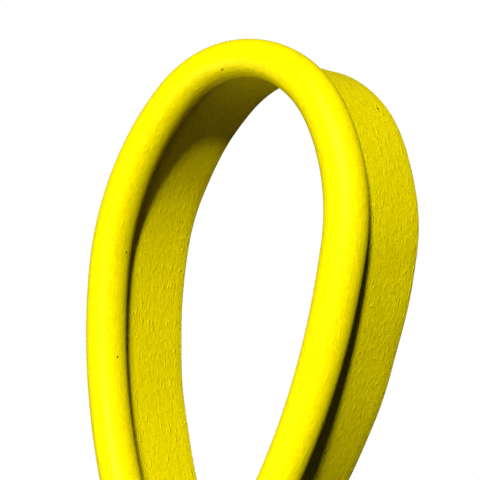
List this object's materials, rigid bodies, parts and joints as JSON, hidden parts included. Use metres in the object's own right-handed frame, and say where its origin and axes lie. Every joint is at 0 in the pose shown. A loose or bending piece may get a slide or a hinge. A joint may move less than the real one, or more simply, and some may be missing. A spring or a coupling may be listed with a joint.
{
  "type": "flat web sling",
  "caption": "Eye-and-eye flat web sling of bead-edged coated band, with teardrop eyes, lap-sewn tails and a hinged tag.",
  "frame": {"origin": "middle of the sling's length, on the surface its band's free edge rests on", "axes": "+Y along the sling towards eye A's crown, +Z across the band's width towards its bead, +X to the side its tail is lapped on at eye A's end"},
  "size_m": [0.1322, 0.713, 0.05],
  "materials": {
    "cover": "satin extruded PVC",
    "carrier_web": "plain woven polyester, coated in",
    "bead_core": "laid polyester rope",
    "bead_end_cap": "moulded PVC",
    "stitching": "bonded polyester thread",
    "label": "coated woven tag",
    "label_print_panel": "matte",
    "label_window": "clear film"
  },
  "bodies": {
    "body_a": {"body_a_cover": "cover", "body_a_carrier_web": "carrier_web", "body_a_bead_core": "bead_core", "tail_a_cover": "cover", "tail_a_carrier_web": "carrier_web", "lap_a_stitching": "stitching", "throat_a_bar_tack": "stitching", "label_sewn_edge": "label", "label_stitching": "stitching"},
    "eye_a": {"eye_a_cover": "cover", "eye_a_carrier_web": "carrier_web", "eye_a_bead_core": "bead_core", "eye_a_bead_end_cap": "bead_end_cap"},
    "body_b": {"body_b_cover": "cover", "body_b_carrier_web": "carrier_web", "body_b_bead_core": "bead_core", "tail_b_cover": "cover", "tail_b_carrier_web": "carrier_web", "lap_b_stitching": "stitching", "throat_b_bar_tack": "stitching"},
    "eye_b": {"eye_b_cover": "cover", "eye_b_carrier_web": "carrier_web", "eye_b_bead_core": "bead_core", "eye_b_bead_end_cap": "bead_end_cap"},
    "label": {"label_flap": "label", "label_print_panel": "label_print_panel", "label_window": "label_window"}
  },
  "joints": [
    {"name": "throat_a_flex", "type": "hinge", "parent": "body_a", "child": "eye_a", "pos_m": [0.00155, 0.1, 0.025], "axis": [0, 0, 1], "range_deg": [-45, 45], "stiffness_Nm_per_rad": 0.25},
    {"name": "body_fold", "type": "hinge", "parent": "body_a", "child": "body_b", "pos_m": [0, 0, 0.025], "axis": [0, 0, 1], "range_deg": [-60, 60], "stiffness_Nm_per_rad": 0.25},
    {"name": "throat_b_flex", "type": "hinge", "parent": "body_b", "child": "eye_b", "pos_m": [-0.00155, -0.1, 0.025], "axis": [0, 0, 1], "range_deg": [-45, 45], "stiffness_Nm_per_rad": 0.25},
    {"name": "label_lift", "type": "hinge", "parent": "body_a", "child": "label", "pos_m": [-0.0027, 0.0246, 0.018], "axis": [0, 0, 1], "range_deg": [0, 100], "stiffness_Nm_per_rad": 0.001}
  ]
}
